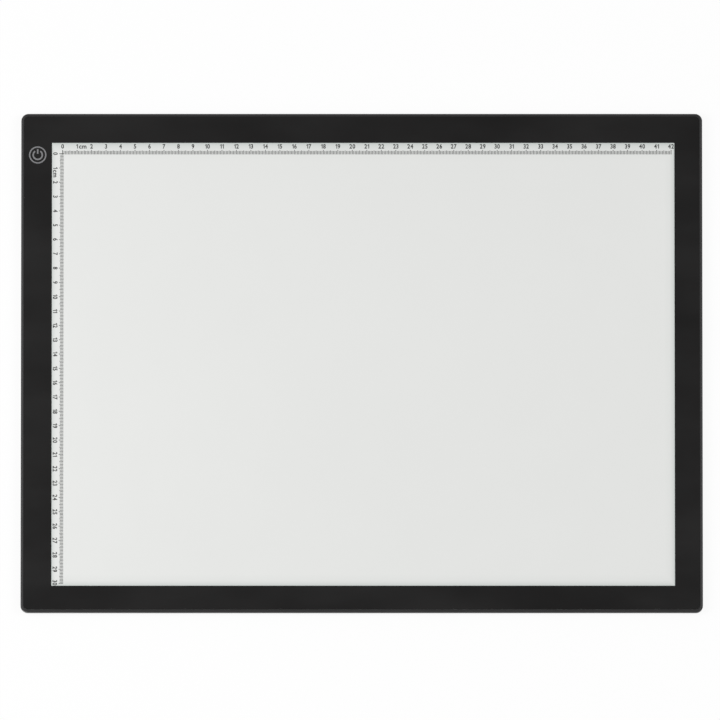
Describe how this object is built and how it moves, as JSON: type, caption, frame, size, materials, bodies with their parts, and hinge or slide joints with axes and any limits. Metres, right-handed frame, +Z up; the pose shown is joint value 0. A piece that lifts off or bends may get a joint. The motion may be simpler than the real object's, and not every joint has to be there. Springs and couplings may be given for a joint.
{
  "type": "tracing light pad",
  "caption": "Thin edge-lit tracing pad: opal drawing panel with a black border, touch key, printed rulers, moulded frame, screwed back cover, rubber feet and a side power inlet.",
  "frame": {"origin": "under the middle of the pad, on the surface that the rubber feet stand on", "axes": "+X to the right along the long side, +Y to the rear, away from the person drawing, +Z up out of the drawing surface"},
  "size_m": [0.47, 0.348, 0.0058],
  "materials": {
    "frame_plastic": "fine moulded satin, near black",
    "cover_plastic": "fine moulded texture, near black",
    "black_border": "smooth satin black print",
    "opal_acrylic": "opal white, satin",
    "screw_steel": "blackened steel",
    "foot_rubber": "matt black rubber",
    "white_film": "matt white film",
    "clear_acrylic": "clear, printed with fine dots",
    "black_tape": "matt black tape",
    "strip_white": "white lacquered board",
    "led_white": "white moulded package",
    "led_phosphor": "yellow phosphor gel",
    "board_green": "green lacquered board",
    "foam_tape": "white foam tape",
    "chip_black": "black moulded package",
    "capacitor_tan": "tan ceramic chip",
    "grey_foam": "conductive grey foam",
    "copper": "bare copper foil",
    "inlet_steel": "bright plated sheet",
    "inlet_black": "black moulded insulator",
    "contact_gold": "gold-plated contact",
    "lead_red": "red insulated wire",
    "lead_black": "black insulated wire",
    "ruler_ink": "dark grey screen print",
    "key_ink": "grey screen print"
  },
  "bodies": {
    "root": {"outer_frame": "frame_plastic", "back_cover": "cover_plastic", "border_mask": "black_border", "front_panel": "opal_acrylic", "cover_screws": "screw_steel", "rubber_feet": "foot_rubber", "diffuser_sheet": "white_film", "reflector_sheet": "white_film", "left_edge_tape": "white_film", "right_edge_tape": "white_film", "light_guide": "clear_acrylic", "panel_tape": "black_tape", "rear_shade_tape": "black_tape", "front_shade_tape": "black_tape", "rear_led_board": "strip_white", "front_led_board": "strip_white", "rear_leds": "led_white", "front_leds": "led_white", "rear_led_windows": "led_phosphor", "front_led_windows": "led_phosphor", "control_board": "board_green", "board_tape": "foam_tape", "touch_chip": "chip_black", "dimmer_transistor": "chip_black", "chip_resistors": "chip_black", "chip_capacitors": "capacitor_tan", "touch_foam": "grey_foam", "touch_electrode": "copper", "inlet_shell": "inlet_steel", "inlet_tongue": "inlet_black", "inlet_contacts": "contact_gold", "positive_leads": "lead_red", "negative_leads": "lead_black"}
  },
  "joints": []
}
